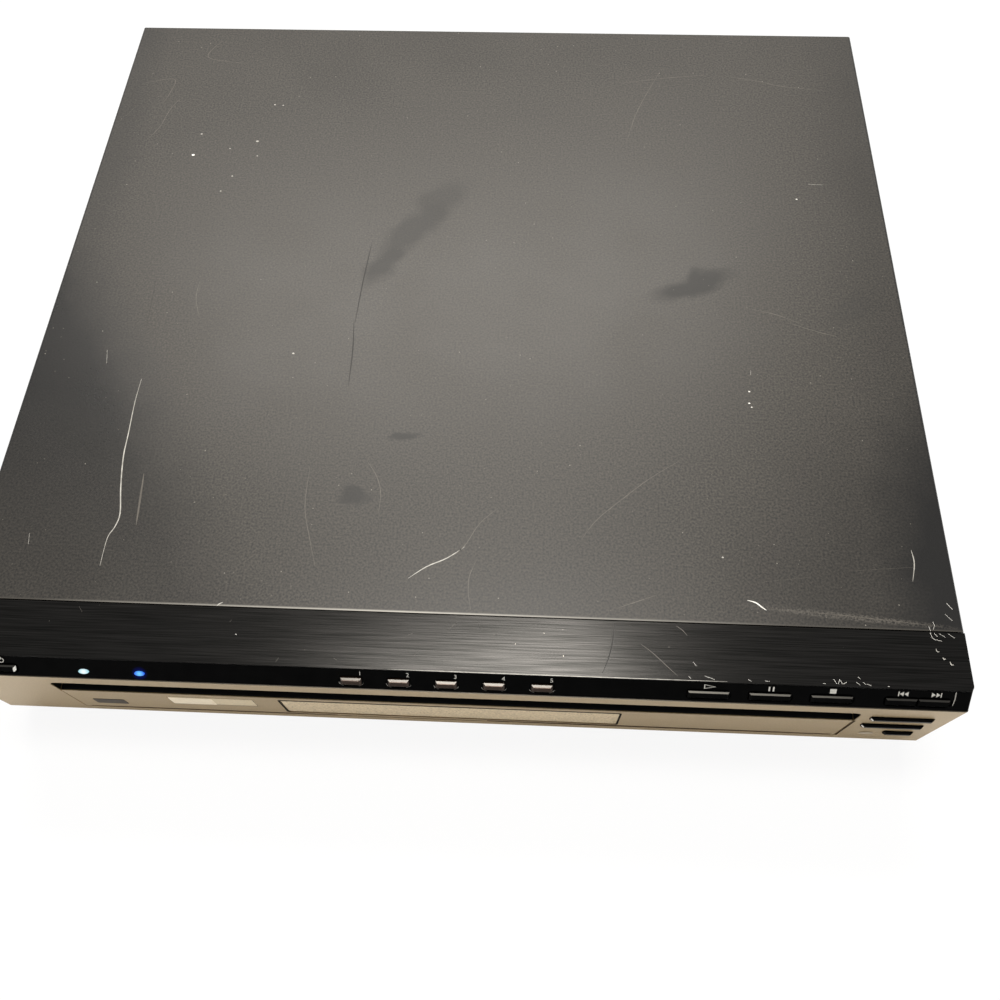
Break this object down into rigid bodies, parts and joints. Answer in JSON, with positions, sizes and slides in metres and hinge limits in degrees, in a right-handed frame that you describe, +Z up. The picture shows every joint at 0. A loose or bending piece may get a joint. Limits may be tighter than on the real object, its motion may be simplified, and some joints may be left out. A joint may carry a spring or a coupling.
{
  "type": "dvd changer",
  "caption": "Flat wide disc changer with a sliding carousel drawer, display window in its door, sloping key band, painted steel cover, feet and rear jacks.",
  "frame": {"origin": "on the floor, below the middle of the whole box", "axes": "+Z up, +Y to the rear, +X to the right seen from the front"},
  "size_m": [0.43, 0.4128, 0.082],
  "materials": {
    "cover_paint": "dark grey fine-textured paint on sheet steel",
    "zinc_steel": "zinc-plated sheet steel",
    "panel_paint": "black painted sheet steel",
    "foot_plastic": "moulded black",
    "screw_steel": "black oxide steel",
    "champagne": "champagne metallic paint on moulded ABS",
    "brushed_black": "black anodised, hairline brushed along its length",
    "gloss_black": "moulded gloss black",
    "silver_key": "silver metallic paint",
    "lens_white": "clear lens over a lit white lamp",
    "lens_blue": "clear lens over a lit blue lamp",
    "sensor": "champagne tinted lens",
    "recess_black": "moulded black",
    "window": "half-mirror champagne acrylic",
    "display": "fluorescent display tube on its board",
    "tray_black": "moulded black",
    "carousel_black": "moulded dark grey",
    "mech_plastic": "moulded black",
    "gear_plastic": "natural acetal",
    "belt_rubber": "moulded rubber",
    "motor_steel": "drawn steel can",
    "turntable_black": "moulded black",
    "board_green": "printed board with its parts",
    "switch_black": "tact switches and lamps",
    "transformer_iron": "laminated core and winding",
    "jack_metal": "nickel-plated phono jacks",
    "socket_black": "moulded black",
    "ribbon": "flat flexible cable"
  },
  "bodies": {
    "cabinet": {"chassis_pan": "zinc_steel", "top_cover": "cover_paint", "rear_panel": "panel_paint", "feet": "foot_plastic", "case_screws": "screw_steel", "front_bezel": "champagne", "top_trim_plate": "brushed_black", "key_band": "gloss_black", "sensor_lens": "sensor", "key_boards": "board_green", "key_switches": "switch_black", "mech_frame": "mech_plastic", "loading_motor": "motor_steel", "loading_belt": "belt_rubber", "clamper_bridge": "zinc_steel", "main_board": "board_green", "power_board": "board_green", "transformer": "transformer_iron", "phono_jacks": "jack_metal", "optical_port": "socket_black", "ac_inlet": "socket_black", "front_ribbon": "ribbon", "indicator_lens_left": "lens_white", "indicator_lens_right": "lens_blue"},
    "drawer": {"tray": "tray_black", "tray_door": "champagne", "door_recess_strip": "recess_black", "display_window": "window", "display_module": "display", "carousel_cap": "carousel_black", "table_motor": "motor_steel", "table_belt": "belt_rubber"},
    "carousel": {"carousel": "carousel_black"},
    "table_gear": {"table_gear": "gear_plastic"},
    "table_motor_pulley": {"table_motor_pulley": "gear_plastic"},
    "loading_gear": {"loading_gear": "gear_plastic"},
    "loading_motor_pulley": {"loading_motor_pulley": "gear_plastic"},
    "base_unit": {"base_frame": "mech_plastic", "spindle_motor": "motor_steel", "guide_rods": "motor_steel", "sled_motor": "motor_steel"},
    "turntable": {"turntable": "turntable_black"},
    "pickup": {"pickup": "turntable_black"},
    "sled_gear": {"sled_gear": "gear_plastic"},
    "lift_slider": {"lift_slider": "mech_plastic"},
    "clamper": {"clamper": "gear_plastic"},
    "disc_key_1": {"disc_key_1": "silver_key"},
    "disc_key_2": {"disc_key_2": "silver_key"},
    "disc_key_3": {"disc_key_3": "silver_key"},
    "disc_key_4": {"disc_key_4": "silver_key"},
    "disc_key_5": {"disc_key_5": "silver_key"},
    "play_key": {"play_key": "gloss_black"},
    "pause_key": {"pause_key": "gloss_black"},
    "stop_key": {"stop_key": "gloss_black"},
    "previous_key": {"previous_key": "gloss_black"},
    "next_key": {"next_key": "gloss_black"},
    "power_key": {"power_key": "gloss_black"},
    "open_close_key": {"open_close_key": "gloss_black"},
    "disc_skip_key": {"disc_skip_key": "gloss_black"},
    "exchange_key": {"exchange_key": "gloss_black"}
  },
  "joints": [
    {"name": "drawer_slide", "type": "slide", "parent": "cabinet", "child": "drawer", "axis": [0, -1, 0], "range_m": [0, 0.215]},
    {"name": "carousel_spin", "type": "hinge", "parent": "drawer", "child": "carousel", "pos_m": [0, -0.01155, 0.0455], "axis": [0, 0, 1], "continuous": true},
    {"name": "table_gear_spin", "type": "hinge", "parent": "drawer", "child": "table_gear", "pos_m": [0.05515, -0.0667, 0.0393], "axis": [0, 0, 1], "continuous": true},
    {"name": "table_motor_spin", "type": "hinge", "parent": "drawer", "child": "table_motor_pulley", "pos_m": [0.11031, -0.12186, 0.0393], "axis": [0, 0, 1], "continuous": true},
    {"name": "loading_gear_spin", "type": "hinge", "parent": "cabinet", "child": "loading_gear", "pos_m": [-0.1335, -0.14605, 0.0276], "axis": [0, 0, 1], "continuous": true},
    {"name": "loading_motor_spin", "type": "hinge", "parent": "cabinet", "child": "loading_motor_pulley", "pos_m": [-0.0615, -0.14605, 0.0276], "axis": [0, 0, 1], "continuous": true},
    {"name": "base_lift", "type": "hinge", "parent": "cabinet", "child": "base_unit", "pos_m": [0, 0.18306, 0.03], "axis": [-1, 0, 0], "range_deg": [0, 7]},
    {"name": "lift_slide", "type": "slide", "parent": "cabinet", "child": "lift_slider", "axis": [0, 1, 0], "range_m": [0, 0.0242]},
    {"name": "turntable_spin", "type": "hinge", "parent": "base_unit", "child": "turntable", "pos_m": [0, 0.09012, 0.04025], "axis": [0, -0.1219, 0.9925], "continuous": true},
    {"name": "pickup_slide", "type": "slide", "parent": "base_unit", "child": "pickup", "axis": [0, 0.9925, 0.1219], "range_m": [0, 0.034]},
    {"name": "sled_gear_spin", "type": "hinge", "parent": "base_unit", "child": "sled_gear", "pos_m": [0.0378, 0.13748, 0.03196], "axis": [0, -0.1219, 0.9925], "continuous": true},
    {"name": "clamper_spin", "type": "hinge", "parent": "cabinet", "child": "clamper", "pos_m": [0, 0.09206, 0.064], "axis": [0, 0, 1], "continuous": true},
    {"name": "disc_key_1_press", "type": "slide", "parent": "cabinet", "child": "disc_key_1", "axis": [0, 0.7564, -0.6542], "range_m": [0, 0.0007], "stiffness_N_per_m": 400, "springref_m": -0.0004},
    {"name": "disc_key_2_press", "type": "slide", "parent": "cabinet", "child": "disc_key_2", "axis": [0, 0.7564, -0.6542], "range_m": [0, 0.0007], "stiffness_N_per_m": 400, "springref_m": -0.0004},
    {"name": "disc_key_3_press", "type": "slide", "parent": "cabinet", "child": "disc_key_3", "axis": [0, 0.7564, -0.6542], "range_m": [0, 0.0007], "stiffness_N_per_m": 400, "springref_m": -0.0004},
    {"name": "disc_key_4_press", "type": "slide", "parent": "cabinet", "child": "disc_key_4", "axis": [0, 0.7564, -0.6542], "range_m": [0, 0.0007], "stiffness_N_per_m": 400, "springref_m": -0.0004},
    {"name": "disc_key_5_press", "type": "slide", "parent": "cabinet", "child": "disc_key_5", "axis": [0, 0.7564, -0.6542], "range_m": [0, 0.0007], "stiffness_N_per_m": 400, "springref_m": -0.0004},
    {"name": "play_key_press", "type": "slide", "parent": "cabinet", "child": "play_key", "axis": [0, 0.7564, -0.6542], "range_m": [0, 0.0007], "stiffness_N_per_m": 400, "springref_m": -0.0004},
    {"name": "pause_key_press", "type": "slide", "parent": "cabinet", "child": "pause_key", "axis": [0, 0.7564, -0.6542], "range_m": [0, 0.0007], "stiffness_N_per_m": 400, "springref_m": -0.0004},
    {"name": "stop_key_press", "type": "slide", "parent": "cabinet", "child": "stop_key", "axis": [0, 0.7564, -0.6542], "range_m": [0, 0.0007], "stiffness_N_per_m": 400, "springref_m": -0.0004},
    {"name": "previous_key_press", "type": "slide", "parent": "cabinet", "child": "previous_key", "axis": [0, 0.7564, -0.6542], "range_m": [0, 0.0007], "stiffness_N_per_m": 400, "springref_m": -0.0004},
    {"name": "next_key_press", "type": "slide", "parent": "cabinet", "child": "next_key", "axis": [0, 0.7564, -0.6542], "range_m": [0, 0.0007], "stiffness_N_per_m": 400, "springref_m": -0.0004},
    {"name": "power_key_press", "type": "slide", "parent": "cabinet", "child": "power_key", "axis": [0, 0.7564, -0.6542], "range_m": [0, 0.0007], "stiffness_N_per_m": 400, "springref_m": -0.0004},
    {"name": "open_close_key_press", "type": "slide", "parent": "cabinet", "child": "open_close_key", "axis": [0, 1, 0], "range_m": [0, 0.0007], "stiffness_N_per_m": 400, "springref_m": -0.0004},
    {"name": "disc_skip_key_press", "type": "slide", "parent": "cabinet", "child": "disc_skip_key", "axis": [0, 1, 0], "range_m": [0, 0.0007], "stiffness_N_per_m": 400, "springref_m": -0.0004},
    {"name": "exchange_key_press", "type": "slide", "parent": "cabinet", "child": "exchange_key", "axis": [0, 1, 0], "range_m": [0, 0.0007], "stiffness_N_per_m": 400, "springref_m": -0.0004}
  ],
  "couplings": [
    {"joint": "table_gear_spin", "follows": "carousel_spin", "ratio": -3.3333},
    {"joint": "table_motor_spin", "follows": "carousel_spin", "ratio": -11.395},
    {"joint": "loading_gear_spin", "follows": "drawer_slide", "rad_per_m": 55.556},
    {"joint": "loading_motor_spin", "follows": "drawer_slide", "rad_per_m": 293.28},
    {"joint": "lift_slide", "follows": "base_lift", "m_per_rad": 0.19644},
    {"joint": "sled_gear_spin", "follows": "pickup_slide", "rad_per_m": -138.89}
  ]
}
